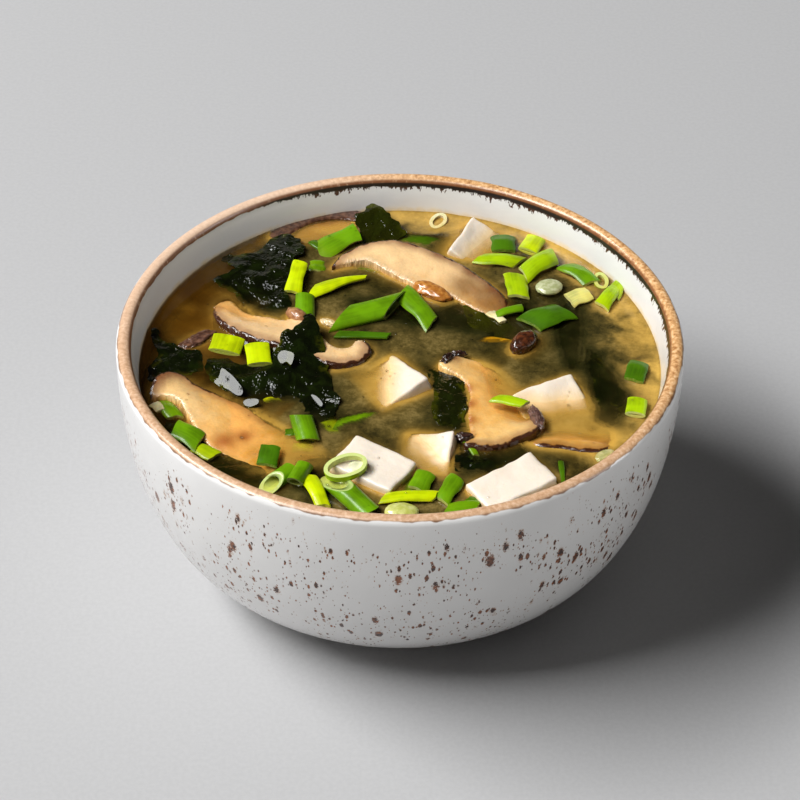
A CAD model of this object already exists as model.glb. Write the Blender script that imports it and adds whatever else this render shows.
"""The looks of the miso soup in its bowl: finishes and detailed pieces over the CAD frame.

Lengths are millimetres from the point where the bowl's axis meets the soup's
surface, +X right, +Y back and +Z up. to_world() turns them into metres.
"""

import math

import bmesh
import bpy
import numpy as np
from mathutils import Euler, Matrix, Vector, geometry, kdtree, noise
from mathutils.bvhtree import BVHTree


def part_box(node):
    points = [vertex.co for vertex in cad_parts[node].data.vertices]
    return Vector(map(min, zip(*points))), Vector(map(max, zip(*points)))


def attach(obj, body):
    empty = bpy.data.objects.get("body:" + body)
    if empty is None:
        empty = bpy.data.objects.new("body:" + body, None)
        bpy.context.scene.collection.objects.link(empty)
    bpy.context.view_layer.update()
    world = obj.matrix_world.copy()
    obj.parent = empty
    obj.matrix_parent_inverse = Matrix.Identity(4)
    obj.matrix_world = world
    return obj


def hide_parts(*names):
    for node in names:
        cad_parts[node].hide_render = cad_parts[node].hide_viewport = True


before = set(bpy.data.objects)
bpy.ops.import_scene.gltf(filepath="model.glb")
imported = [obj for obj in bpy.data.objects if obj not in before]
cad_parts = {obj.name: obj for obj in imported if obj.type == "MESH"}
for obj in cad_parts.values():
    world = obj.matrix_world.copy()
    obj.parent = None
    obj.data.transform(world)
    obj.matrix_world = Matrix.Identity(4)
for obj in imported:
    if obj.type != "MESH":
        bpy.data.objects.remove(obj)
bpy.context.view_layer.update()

MM = 0.001
RIM_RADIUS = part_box("bowl")[1].x / MM
BOWL_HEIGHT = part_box("bowl")[1].z / MM
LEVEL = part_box("soup")[1].z / MM
RIM_TOP = BOWL_HEIGHT - LEVEL  # above the soup

# The bowl's section, as in the CAD source
LIP_RADIUS = 2.0
FOOT_RADIUS = 33.0
FOOT_INNER_RADIUS = 28.5
FOOT_HEIGHT = 2.5
FOOT_RECESS = 1.8
WALL = 6.0
WALL_EASE = 5.6
SIDE_POWER = 5.583
DEPTH_POWER = 2.115
BODY_FOOT_RADIUS = 36.0
BOWL_STEPS = 288

CORE_DEPTH = 7.5  # where the broth is too cloudy to see further
FILM_THICKNESS = 0.25
BUBBLES = 130

# Colours (linear)
GLAZE = (0.80, 0.79, 0.775)
AMBER_TINT = (1.0, 0.70, 0.18)
BROTH_GLOW = (0.70, 0.395, 0.065)  # over pale toppings
BROTH_GLOOM = (0.016, 0.017, 0.004)  # round the seaweed
TOFU = (0.80, 0.71, 0.60)
MUSHROOM_FLESH = (0.86, 0.59, 0.31)
MUSHROOM_PINK = (0.42, 0.25, 0.135)
MUSHROOM_SKIN = (0.050, 0.017, 0.008)
MUSHROOM_GILL = (0.84, 0.63, 0.40)
WAKAME_DARK = (0.004, 0.006, 0.001)
WAKAME_THIN = (0.060, 0.065, 0.002)
SCALLION_TONES = {  # outside, inside
    "dark": ((0.045, 0.125, 0.002), (0.12, 0.26, 0.01)),
    "green": ((0.105, 0.235, 0.002), (0.42, 0.54, 0.16)),
    "light": ((0.28, 0.42, 0.002), (0.58, 0.66, 0.22)),
    "yellow": ((0.42, 0.52, 0.001), (0.62, 0.68, 0.08)),
    "pale": ((0.58, 0.56, 0.17), (0.66, 0.64, 0.26)),
    "white": ((0.70, 0.68, 0.44), (0.74, 0.72, 0.50)),
    "amber": ((0.50, 0.30, 0.010), (0.55, 0.35, 0.02)),
}


def to_world(point):
    return Vector((point[0], point[1], point[2] + LEVEL)) * MM


def middle_of(node):
    """The middle of a CAD node's box."""
    low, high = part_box(node)
    return (low + high) / 2 / MM - Vector((0, 0, LEVEL))


# ---------------------------------------------------------------- node helpers


class Nodes:
    """Short ways to add and join the nodes of one material."""

    def __init__(self, name):
        self.material = bpy.data.materials.new(name)
        self.material.use_nodes = True
        self.tree = self.material.node_tree
        self.tree.nodes.clear()
        self.place = self.add("TexCoord").outputs["Object"]
        parts = self.add("SeparateXYZ", {0: self.place}).outputs
        self.x, self.y, self.z = (self.math("MULTIPLY", part, 1 / MM) for part in parts)

    def add(self, kind, inputs=None, **settings):
        node = self.tree.nodes.new("ShaderNode" + kind)
        for key, value in settings.items():
            setattr(node, key, value)
        for key, value in (inputs or {}).items():
            if isinstance(value, bpy.types.NodeSocket):
                self.tree.links.new(value, node.inputs[key])
            elif isinstance(value, tuple) and len(value) == 3 and node.inputs[key].type == "RGBA":
                node.inputs[key].default_value = (*value, 1.0)
            else:
                node.inputs[key].default_value = value
        return node

    def math(self, operation, a, b=0.0, clamp=False):
        made = self.add("Math", {0: a, 1: b}, operation=operation, use_clamp=clamp)
        return made.outputs[0]

    def mix(self, share, a, b, blend="MIX"):
        made = self.add("Mix", {0: share, 6: a, 7: b}, data_type="RGBA", blend_type=blend)
        return made.outputs[2]

    def span(self, value, low, high, to_low=0.0, to_high=1.0, kind="SMOOTHSTEP"):
        """0 to 1 as the value goes from low to high, eased at both ends."""
        inputs = {"Value": value, "From Min": low, "From Max": high,
                  "To Min": to_low, "To Max": to_high}
        return self.add("MapRange", inputs, interpolation_type=kind).outputs["Result"]

    def noise(self, size, detail=3.0, roughness=0.55, distortion=0.0, vector=None):
        """Noise from 0 to 1 whose blobs are about that many millimetres across."""
        inputs = {"Vector": vector or self.place, "Scale": 1 / (size * MM), "Detail": detail,
                  "Roughness": roughness, "Distortion": distortion}
        return self.add("TexNoise", inputs).outputs["Fac"]

    def dots(self, size, randomness=1.0, vector=None):
        """(distance from the nearest dot's middle in cells, a random colour per cell)."""
        inputs = {"Vector": vector or self.place, "Scale": 1 / (size * MM),
                  "Randomness": randomness}
        made = self.add("TexVoronoi", inputs, feature="F1")
        return made.outputs["Distance"], made.outputs["Color"]

    def stretched(self, sx, sy, sz):
        """The place with each axis scaled, so that noise runs in streaks."""
        return self.add("Mapping", {"Vector": self.place, "Scale": (sx, sy, sz)}).outputs[0]

    def ramp(self, value, *stops):
        node = self.add("ValToRGB", {"Fac": value})
        elements = node.color_ramp.elements
        while len(elements) < len(stops):
            elements.new(0.5)
        for element, (position, colour) in zip(elements, stops):
            element.position = position
            element.color = (*colour, 1.0)
        return node.outputs["Color"]

    def attribute(self, name):
        return self.add("Attribute", attribute_name=name).outputs["Fac"]

    def bump(self, height, distance, strength=1.0, normal=None):
        """A normal from a height of 0 to 1 that stands for that many millimetres."""
        inputs = {"Height": height, "Distance": distance * MM, "Strength": strength}
        if normal:
            inputs["Normal"] = normal
        return self.add("Bump", inputs).outputs["Normal"]

    def principled(self, inputs):
        return self.add("BsdfPrincipled", inputs).outputs[0]

    def finish(self, shader):
        self.add("OutputMaterial", {"Surface": shader})
        return self.material


def leftness(n, wander):
    """1 where the broth is clear, down the bowl's left side, and 0 elsewhere."""
    return n.span(n.math("ADD", n.x, wander), -24, -50)


def broth_colour(n):
    """The broth's colour by place: clear amber left, golden by the right wall, cloudy between."""
    clouds = n.noise(15, 3, 0.5, 0.3)
    grain = n.noise(1.3, 5, 0.75)
    patches = n.noise(8, 3, 0.5, 0.3)
    dusty = n.math("ADD", n.math("MULTIPLY", grain, 0.45), n.math("MULTIPLY", patches, 0.55))
    murk = n.ramp(dusty, (0.37, (0.034, 0.027, 0.008)), (0.50, (0.098, 0.070, 0.018)),
                  (0.63, (0.22, 0.155, 0.048)))
    murk = n.mix(n.span(n.noise(17, 2, 0.5, 0.4), 0.34, 0.60),
                 n.mix(1.0, murk, (0.40, 0.42, 0.34), "MULTIPLY"), murk)
    amber = n.ramp(clouds, (0.35, (0.11, 0.042, 0.002)), (0.65, (0.24, 0.110, 0.010)))
    golden = n.ramp(n.math("ADD", n.math("MULTIPLY", clouds, 0.65), n.math("MULTIPLY", grain, 0.35)),
                    (0.36, (0.24, 0.145, 0.028)), (0.62, (0.56, 0.345, 0.075)))
    wander = n.span(patches, 0.3, 0.7, -6, 6)
    radius = n.math("SQRT", n.math("ADD", n.math("MULTIPLY", n.x, n.x),
                                   n.math("MULTIPLY", n.y, n.y)))
    rightness = n.math("ADD", n.x, n.math("MULTIPLY", n.y, 0.6))
    by_wall = n.math("MULTIPLY", n.span(n.math("ADD", radius, wander), 54, 70),
                     n.span(rightness, 4, 38))
    return n.mix(by_wall, n.mix(leftness(n, wander), murk, amber), golden)


def sunk(n, colour, sight=CORE_DEPTH, soak=0.6, wander=0.4):
    """The colour as the broth shows it: soaked just above, amber below, then lost in the broth."""
    depth = n.math("SUBTRACT", LEVEL, n.z)
    depth_here = n.math("ADD", depth, n.span(n.noise(3, 3), 0.3, 0.7, -wander, wander))
    amber = n.mix(1.0, colour, AMBER_TINT, "MULTIPLY")
    above = n.math("MULTIPLY", n.span(depth_here, -2.2, 0.0), soak)
    tinted = n.mix(n.math("MAXIMUM", above, n.span(depth_here, -0.1, 1.4)), colour, amber)
    return n.mix(n.span(depth, 0.2, sight, 0, 0.9), tinted, broth_colour(n))


# ------------------------------------------------------------------- materials


def stoneware():
    """White glaze with brown specks, and a bare rim that bleeds dark drips inside."""
    n = Nodes("stoneware_glaze")
    lip = n.attribute("lip")
    outside = n.span(lip, 2.0, 5.0)
    streaks = n.stretched(1, 1, 0.05)
    right = n.span(n.math("ADD", n.math("MULTIPLY", n.x, 0.82), n.math("MULTIPLY", n.y, 0.57)), 5, 58)

    clump = n.span(n.noise(15, 2), 0.28, 0.56)
    low = n.span(n.z, BOWL_HEIGHT + 4, BOWL_HEIGHT - 16)
    tilted = n.add("Mapping", {"Vector": n.place, "Scale": (1.0, 1.0, 0.46),
                               "Rotation": (0.35, 0.35, 0.0)}).outputs[0]
    specks, halo = 0.0, 0.0
    for size, reach in ((1.9, 0.34), (4.3, 0.30), (1.1, 0.27), (1.5, 0.29), (0.8, 0.24)):
        distance, random = n.dots(size, vector=tilted)
        chance = n.add("SeparateColor", {0: random}).outputs[0]
        wanted = n.math("MULTIPLY", n.span(chance, 0.15, 0.9), n.math("MULTIPLY", clump, low))
        rough_edge = n.math("ADD", distance, n.math("MULTIPLY", n.noise(0.55, 3, 0.7), 0.42))
        edge = n.math("MULTIPLY", wanted, reach)
        spot = n.math("SUBTRACT", n.math("ADD", edge, 0.18), rough_edge)
        specks = n.math("MAXIMUM", specks, n.span(spot, 0.0, 0.04))
        halo = n.math("MAXIMUM", halo, n.span(spot, -0.09, 0.02))
    specks = n.math("MULTIPLY", specks, outside)
    speck_colour = n.ramp(n.noise(1.6, 2), (0.40, (0.040, 0.010, 0.003)), (0.62, (0.28, 0.088, 0.028)))
    shade = n.span(n.noise(22, 2), 0.3, 0.7, 0.94, 1.0)
    glaze = n.mix(1.0, GLAZE, n.add("CombineColor", {0: shade, 1: shade, 2: shade}).outputs[0], "MULTIPLY")
    rusty = n.math("MULTIPLY", n.math("MULTIPLY", halo, outside), n.span(n.noise(9, 2), 0.4, 0.7, 0.2, 0.75))
    colour = n.mix(rusty, glaze, (0.52, 0.34, 0.22))
    colour = n.mix(specks, colour, speck_colour)

    inward = n.math("MULTIPLY", lip, -1)
    slow = n.noise(6, 2, vector=streaks)
    teeth = n.noise(0.75, 3, 0.7, vector=streaks)
    clots = n.noise(3.2, 2, 0.6, vector=streaks)
    zone = n.span(n.math("ADD", n.x, n.math("MULTIPLY", n.y, 1.1)), 5, 62)
    reach = n.math("MULTIPLY", n.span(teeth, 0.44, 0.62), n.span(clots, 0.35, 0.65, 0.35, 1.5))
    reach = n.math("MULTIPLY", n.math("ADD", reach, n.span(zone, 0, 1, 0.1, 0.6)), zone)
    edge_in = n.math("ADD", n.span(slow, 0.3, 0.7, 2.7, 3.3), n.math("MULTIPLY", reach, 1.1))
    band_in = n.span(n.math("SUBTRACT", edge_in, inward), 0.0, 0.2)
    band_out = n.span(n.math("SUBTRACT", n.span(slow, 0.3, 0.7, 1.5, 2.3), lip), -0.15, 0.25)
    band = n.math("MULTIPLY", band_in, band_out)
    mottle = n.noise(1.1, 3, 0.6)
    peach = n.ramp(mottle, (0.30, (0.44, 0.25, 0.135)), (0.50, (0.57, 0.35, 0.205)),
                   (0.70, (0.70, 0.48, 0.325)))
    peach = n.mix(n.span(n.y, -30, 50, 0.0, 0.5), peach, (0.92, 0.70, 0.54))
    orange = n.ramp(mottle, (0.32, (0.34, 0.145, 0.045)), (0.52, (0.66, 0.37, 0.155)),
                    (0.72, (0.86, 0.60, 0.34)))
    rim = n.mix(right, peach, orange)
    smear = n.span(n.noise(1.9, 4, 0.7, vector=streaks), 0.22, 0.44)
    brown_line = n.math("MULTIPLY", n.span(inward, 1.2, 2.0), smear)
    rim = n.mix(n.math("MULTIPLY", brown_line, 0.9), rim, (0.19, 0.060, 0.018))
    dark = n.math("MULTIPLY", n.span(inward, 2.2, 2.7), n.span(zone, 0.08, 0.5))
    rim = n.mix(dark, rim, n.mix(n.span(inward, 3.3, 4.2), (0.014, 0.009, 0.009), (0.085, 0.035, 0.020)))
    rim = n.mix(n.math("MULTIPLY", n.span(lip, 1.2, 1.9), 0.75), rim, (0.10, 0.036, 0.016))
    colour = n.mix(band, colour, rim)
    pits = n.bump(n.math("SUBTRACT", 1.0, specks), 0.12, 0.5)
    relief = n.bump(n.noise(5, 2), 0.25, 0.35, pits)
    relief = n.bump(n.math("MULTIPLY", band, mottle), 0.10, 0.3, relief)
    colour = n.mix(outside, sunk(n, colour, 8.0), colour)
    return n.finish(n.principled({
        "Base Color": colour,
        "Roughness": n.span(band, 0, 1, 0.22, 0.32),
        "Normal": relief,
        "Coat Weight": 0.25,
        "Coat Roughness": 0.12,
    }))


def broth_core():
    n = Nodes("broth_deep")
    relief = n.bump(n.noise(2.2, 4, 0.7), 0.5, 0.5)
    return n.finish(n.principled({
        "Base Color": broth_colour(n), "Roughness": 0.6, "Normal": relief,
        "Specular IOR Level": 0.1,
    }))


def broth_surface():
    """A wet surface: as cloudy as the broth between it and what lies under it."""
    n = Nodes("broth_surface")
    clear = n.add("BsdfTransparent").outputs[0]
    wander = n.span(n.noise(6, 3, 0.6, 0.4), 0.3, 0.7, -7, 7)
    density = n.span(leftness(n, wander), 0, 1, 0.62, 0.07)
    swirl = n.span(n.noise(8, 3, 0.55, 0.3), 0.34, 0.66, 0.6, 1.35)
    passed = n.math("MULTIPLY", n.math("MULTIPLY", density, swirl), n.attribute("depth"))
    cloud = n.math("SUBTRACT", 1.0, n.math("EXPONENT", n.math("MULTIPLY", passed, -1)))
    tint = n.mix(n.math("MULTIPLY", n.attribute("gloom"), 0.85), broth_colour(n), BROTH_GLOOM)
    tint = n.mix(n.attribute("glow"), tint, BROTH_GLOW)
    veil = n.add("BsdfDiffuse", {"Color": tint}).outputs[0]
    body = n.add("MixShader", {0: cloud, 1: clear, 2: veil}).outputs[0]
    ripples = n.bump(n.noise(9, 2), 0.2, 0.25)
    gloss = n.add("BsdfGlossy", {"Roughness": 0.03, "Normal": ripples}).outputs[0]
    fresnel = n.add("Fresnel", {"IOR": 1.33, "Normal": ripples}).outputs[0]
    return n.finish(n.add("MixShader", {0: fresnel, 1: body, 2: gloss}).outputs[0])


def broth_underside():
    n = Nodes("broth_surface_underside")
    return n.finish(n.add("BsdfTransparent").outputs[0])


def tofu_curd():
    n = Nodes("tofu_curd")
    curd = n.noise(0.5, 4, 0.7)
    colour = n.mix(n.span(n.noise(4, 2), 0.3, 0.7, 0.0, 0.25), TOFU, (0.80, 0.67, 0.52))
    pores = n.span(n.dots(2.4)[0], 0.05, 0.12)
    colour = n.mix(n.span(pores, 0, 1, 0.12, 0.0), colour, (0.55, 0.42, 0.26))
    relief = n.bump(n.math("MULTIPLY", curd, pores), 0.12, 0.5)
    relief = n.bump(n.noise(2.6, 2), 0.25, 0.5, relief)
    return n.finish(n.principled({
        "Base Color": sunk(n, colour, 6.5, 0.6, 0.12), "Roughness": 0.36, "Normal": relief,
        "Subsurface Weight": 0.25, "Subsurface Radius": (1.0, 0.75, 0.5),
        "Subsurface Scale": 1.6 * MM, "Coat Weight": 0.25, "Coat Roughness": 0.2,
    }))


def mushroom():
    """A cut slice of shiitake: dark skin, pinkish flesh under it, cream flesh and gills."""
    n = Nodes("shiitake_flesh")
    skin, gills = n.attribute("skin"), n.attribute("gills")
    stain, cap, soak = n.attribute("stain"), n.attribute("cap"), n.attribute("soak")
    fibre = n.noise(0.9, 4, 0.65)
    wander = n.span(n.noise(2.5, 3), 0.3, 0.7, -0.35, 0.35)
    flesh = n.mix(n.span(n.noise(5, 3), 0.35, 0.7, 0.0, 0.55), MUSHROOM_FLESH, (0.76, 0.50, 0.27))
    flesh = n.mix(n.span(fibre, 0.3, 0.7, 0.3, 0.0), flesh, (0.60, 0.40, 0.22))
    far = n.math("ADD", skin, wander)
    flesh = n.mix(n.span(far, 4.2, 0.7), flesh, MUSHROOM_PINK)
    ways = n.add("CombineXYZ", {0: n.attribute("along"), 1: n.math("MULTIPLY", n.z, 0.12), 2: 0.0})
    lamella = n.add("TexNoise", {"Vector": ways.outputs[0], "Scale": 2.2, "Detail": 2.0})
    lamella = n.span(lamella.outputs["Fac"], 0.35, 0.65)
    gilled = n.span(n.math("ADD", gills, wander), 1.7, 0.3)
    gill_colour = n.mix(lamella, (0.55, 0.36, 0.20), MUSHROOM_GILL)
    colour = n.mix(n.math("MULTIPLY", gilled, 0.85), flesh, gill_colour)
    colour = n.mix(n.math("MULTIPLY", stain, 0.85), colour, (0.33, 0.105, 0.018))
    colour = n.mix(soak, colour, n.mix(1.0, colour, (0.96, 0.85, 0.40), "MULTIPLY"))
    colour = n.mix(n.attribute("shade"), colour, n.mix(1.0, colour, (0.40, 0.33, 0.25), "MULTIPLY"))
    colour = n.mix(n.math("MULTIPLY", cap, n.span(fibre, 0.3, 0.7, 1.0, 0.75)), colour, (0.19, 0.068, 0.024))
    colour = n.mix(n.span(far, 1.05, 0.6), colour, MUSHROOM_SKIN)
    relief = n.bump(fibre, 0.22, 0.6)
    relief = n.bump(n.math("MULTIPLY", lamella, gilled), 0.25, 0.5, relief)
    return n.finish(n.principled({
        "Base Color": sunk(n, colour, 5.0), "Roughness": n.span(far, 0.6, 1.6, 0.18, 0.4),
        "Normal": relief, "Subsurface Weight": 0.15, "Subsurface Radius": (1.0, 0.6, 0.35),
        "Subsurface Scale": 1.2 * MM, "Coat Weight": 0.45, "Coat Roughness": 0.12,
    }))


def wakame(name="wakame_leaf", relief_depth=0.7, gloss=0.9):
    """Wet seaweed: nearly black, olive where it is thin, with a hard gloss."""
    n = Nodes(name)
    edge = n.math("ADD", n.attribute("edge"), n.span(n.noise(3.5, 3), 0.3, 0.7, -1.2, 1.2))
    thin = n.math("MULTIPLY", n.span(edge, 1.6, 0.1), n.span(n.noise(9, 2), 0.48, 0.66))
    green = n.mix(n.span(n.noise(4, 3, 0.6, 0.5), 0.42, 0.72), WAKAME_DARK, (0.010, 0.018, 0.002))
    colour = n.mix(n.math("ADD", thin, n.attribute("olive"), clamp=True), green, WAKAME_THIN)
    relief = n.bump(n.noise(2.4, 3, 0.6), relief_depth)
    return n.finish(n.principled({
        "Base Color": sunk(n, colour, 5.0, 0.2), "Roughness": 0.8, "Normal": relief,
        "Specular IOR Level": 0.0, "Coat Weight": gloss, "Coat Roughness": 0.04,
        "Coat Normal": relief,
    }))


def scallion(tone, side):
    """The skin of a scallion piece, outside or inside: ribbed along the leaf."""
    n = Nodes(f"scallion_{tone}_{side}")
    outer, inner = SCALLION_TONES[tone]
    colour = outer if side == "outside" else inner
    across, along = n.attribute("across"), n.attribute("along")
    lines = n.add("CombineXYZ", {0: across, 1: n.math("MULTIPLY", along, 0.025), 2: 0.0}).outputs[0]
    ribs = n.add("TexNoise", {"Vector": lines, "Scale": 1.9, "Detail": 3.0}).outputs["Fac"]
    light = tuple(min(c * 1.45, 0.85) for c in colour)
    deep = tuple(c * 0.55 for c in colour)
    shaded = n.mix(n.span(n.noise(6, 2), 0.32, 0.62), deep, light)
    shaded = n.mix(0.45, shaded, colour)
    colour = n.mix(n.span(ribs, 0.35, 0.72, 0.0, 0.45), shaded, light)
    relief = n.bump(ribs, 0.10, 0.5)
    relief = n.bump(n.noise(1.4, 3), 0.15, 0.35, relief)
    return n.finish(n.principled({
        "Base Color": sunk(n, colour, 5.0), "Roughness": 0.3, "Normal": relief,
        "Subsurface Weight": 0.1, "Subsurface Radius": (0.5, 1.0, 0.2),
        "Subsurface Scale": 0.8 * MM, "Specular IOR Level": 0.2, "Coat Weight": 0.2,
        "Coat Roughness": 0.1,
    }))


def scallion_cut(tone):
    """The pale wet face where a scallion was cut."""
    n = Nodes(f"scallion_{tone}_cut")
    inner = SCALLION_TONES[tone][1]
    pale = tuple(0.55 * c + 0.45 * p for c, p in zip(inner, (0.44, 0.54, 0.18)))
    colour = n.mix(n.span(n.noise(0.5, 3), 0.35, 0.7), inner, pale)
    return n.finish(n.principled({
        "Base Color": sunk(n, colour, 5.0), "Roughness": 0.32, "Coat Weight": 0.5,
        "Coat Roughness": 0.12, "Normal": n.bump(n.noise(0.6, 3), 0.15, 0.5),
    }))


def glossy_lump(name, dark, light, roughness=0.25, clear=0.0):
    """A wet lump's skin, with a share of it clear as in a slice of onion."""
    n = Nodes(name)
    colour = n.mix(n.span(n.noise(1.4, 3), 0.35, 0.7), dark, light)
    skin = n.principled({
        "Base Color": sunk(n, colour, 5.0), "Roughness": roughness, "Coat Weight": 0.8,
        "Coat Roughness": 0.05, "Normal": n.bump(n.noise(1.8, 2), 0.22, 0.6),
    })
    if clear:
        skin = n.add("MixShader", {0: clear, 1: skin, 2: n.add("BsdfTransparent").outputs[0]}).outputs[0]
    return n.finish(skin)


def bubble():
    n = Nodes("broth_bubble")
    clear = n.add("BsdfTransparent").outputs[0]
    gloss = n.add("BsdfGlossy", {"Roughness": 0.03}).outputs[0]
    share = n.add("Fresnel", {"IOR": 1.5}).outputs[0]
    return n.finish(n.add("MixShader", {0: share, 1: clear, 2: gloss}).outputs[0])


# --------------------------------------------------------------- mesh helpers


def mesh_piece(name, points, faces, materials, attributes=None, face_slots=None, sharp=50):
    """A piece from points in millimetres, riding on the frame's one body."""
    mesh = bpy.data.meshes.new(name)
    mesh.from_pydata([to_world(p) for p in points], [], faces)
    for key, values in (attributes or {}).items():
        mesh.attributes.new(key, "FLOAT", "POINT").data.foreach_set("value", values)
    for material in materials:
        mesh.materials.append(material)
    if face_slots is not None:
        mesh.polygons.foreach_set("material_index", face_slots)
    mesh.validate()
    mesh.shade_smooth()
    mesh.set_sharp_from_angle(angle=math.radians(sharp))
    piece = bpy.data.objects.new(name, mesh)
    bpy.context.scene.collection.objects.link(piece)
    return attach(piece, "root")


def catmull(points, per_span, closed=True):
    """A Catmull-Rom curve through rows of numbers."""
    points = np.asarray(points, float)
    count = len(points)
    spans = count if closed else count - 1
    curve = []
    for i in range(spans):
        ids = [i - 1, i, i + 1, i + 2]
        ids = [k % count for k in ids] if closed else [min(max(k, 0), count - 1) for k in ids]
        a, b, c, d = points[ids]
        for step in range(per_span):
            t = step / per_span
            curve.append(0.5 * (2 * b + (c - a) * t + (2 * a - 5 * b + 4 * c - d) * t**2
                                + (3 * b - a - 3 * c + d) * t**3))
    if not closed:
        curve.append(points[-1])
    return np.array(curve)


def resampled(curve, spacing, closed=True):
    """Rows at even distances in X and Y along a curve."""
    if closed:
        curve = np.vstack([curve, curve[:1]])
    steps = np.hypot(*np.diff(curve[:, :2], axis=0).T)
    length = np.concatenate([[0], np.cumsum(steps)])
    count = max(int(length[-1] / spacing), 8)
    wanted = np.linspace(0, length[-1], count + 1)
    rows = np.column_stack([np.interp(wanted, length, column) for column in curve.T])
    return rows[:-1] if closed else rows


def ragged(outline, amount, size, seed):
    """The outline with its points moved in and out by noise."""
    ahead = np.roll(outline, -1, axis=0) - np.roll(outline, 1, axis=0)
    normal = np.column_stack([ahead[:, 1], -ahead[:, 0]])
    normal /= np.linalg.norm(normal, axis=1)[:, None] + 1e-9
    moved = outline.copy()
    for i, point in enumerate(outline):
        shift = noise.fractal(Vector((point[0] / size, point[1] / size, seed)), 0.7, 2.0, 3)
        moved[i, :2] += normal[i] * shift * amount
    return moved


def inside_grid(outline, spacing):
    """Points of a triangular grid inside an outline, clear of its edge."""
    low, high = outline.min(0), outline.max(0)
    rows = np.arange(low[1], high[1], spacing * 0.866)
    points = []
    for k, y in enumerate(rows):
        xs = np.arange(low[0] + (k % 2) * spacing / 2, high[0], spacing)
        points.append(np.column_stack([xs, np.full(len(xs), y)]))
    points = np.vstack(points)
    x1, y1 = outline[:, 0], outline[:, 1]
    x2, y2 = np.roll(x1, -1), np.roll(y1, -1)
    crosses = ((y1 > points[:, 1:2]) != (y2 > points[:, 1:2])) & (
        points[:, 0:1] < (x2 - x1) * (points[:, 1:2] - y1) / (y2 - y1 + 1e-12) + x1)
    points = points[crosses.sum(1) % 2 == 1]
    return points[distance_to(points, outline) > 0.6 * spacing]


def nearest_on(points, line):
    """For each point, how far the nearest of a line's closely spaced points is, and its number."""
    tree = kdtree.KDTree(len(line))
    for i, (x, y) in enumerate(line[:, :2]):
        tree.insert((x, y, 0), i)
    tree.balance()
    found = [tree.find((x, y, 0)) for x, y in points[:, :2]]
    return np.array([f[2] for f in found]), np.array([f[1] for f in found])


def distance_to(points, line):
    return nearest_on(points, line)[0]


def sheet(name, outline, spacing, top, thickness, material, attributes, round_edge=0.0):
    """A closed sheet over an outline. top gives heights for points, thickness may vary too."""
    outline_xy = outline[:, :2]
    inner = inside_grid(outline_xy, spacing)
    count = len(outline_xy)
    flat = np.vstack([outline_xy, inner])
    made = geometry.delaunay_2d_cdt([Vector(p) for p in flat], [], [list(range(count))], 1, 1e-5)
    points = np.array([tuple(p) for p in made[0]])
    triangles = [tuple(face) for face in made[2]]
    edge = distance_to(points, resampled(outline_xy, min(spacing / 3, 0.2)))
    heights = top(points)
    if round_edge:
        share = np.clip(1 - edge / round_edge, 0, 1)
        heights = heights - round_edge * (1 - np.sqrt(1 - share**2))
    depth = thickness(points, edge) if callable(thickness) else np.full(len(points), thickness)
    upper = np.column_stack([points, heights])
    lower = np.column_stack([points, heights - depth])
    total = len(points)
    turn = 1 if sum(signed_area(points, t) for t in triangles[:50]) > 0 else -1
    triangles = [t[::turn] for t in triangles]
    faces = list(triangles)
    faces += [tuple(i + total for i in reversed(t)) for t in triangles]
    for a, b in open_edges(triangles):
        faces.append((b, a, a + total, b + total))
    values = {key: np.tile(function(points, edge), 2) for key, function in attributes.items()}
    values["edge"] = np.tile(edge, 2)
    return mesh_piece(name, np.vstack([upper, lower]), faces, [material], values)


def signed_area(points, triangle):
    a, b, c = points[list(triangle)]
    return (b[0] - a[0]) * (c[1] - a[1]) - (b[1] - a[1]) * (c[0] - a[0])


def open_edges(triangles):
    """Each directed edge that no other triangle shares."""
    edges = set()
    for a, b, c in triangles:
        for pair in ((a, b), (b, c), (c, a)):
            if pair[::-1] in edges:
                edges.remove(pair[::-1])
            else:
                edges.add(pair)
    return sorted(edges)


def spread_heights(outline, bulge=0.0):
    """A height function that carries the outline's heights smoothly over its inside."""
    rim = resampled(outline, 1.2)

    def top(points):
        gaps = np.sqrt(((points[:, None] - rim[None, :, :2]) ** 2).sum(2)) + 0.05
        weights = gaps**-3.0
        heights = (weights * rim[:, 2]).sum(1) / weights.sum(1)
        return heights + bulge * (1 - np.exp(-gaps.min(1) / 3))

    return top


def rippled(top, depth, size, seed):
    """A height function with noise on it."""

    def bumpy(points):
        waves = [noise.fractal(Vector((x / size, y / size, seed)), 0.8, 2.0, 2) for x, y in points]
        return top(points) + depth * np.array(waves)

    return bumpy


# ------------------------------------------------------------------ bowl, soup


def outside_curve():
    """The body's outline from the rim to the foot: (radius, height above the table)."""
    depth = BOWL_HEIGHT - FOOT_HEIGHT - LIP_RADIUS
    angles = np.pi / 2 * np.linspace(0, 1, 241) ** 2
    radius = RIM_RADIUS * np.cos(angles) ** (2 / SIDE_POWER)
    down = depth * np.sin(angles) ** (2 / DEPTH_POWER)
    return np.column_stack([radius, BOWL_HEIGHT - LIP_RADIUS - down])


def inside_curve():
    """The inside of the wall from the lip to the axis."""
    outside = outside_curve()
    run = np.gradient(outside, axis=0)
    run /= np.linalg.norm(run, axis=1)[:, None]
    down = BOWL_HEIGHT - LIP_RADIUS - outside[:, 1]
    wall = WALL - (WALL - 2 * LIP_RADIUS) * np.exp(-down / WALL_EASE)
    curve = outside + np.column_stack([run[:, 1], -run[:, 0]]) * wall[:, None]
    return curve[curve[:, 0] > 4.0]


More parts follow.
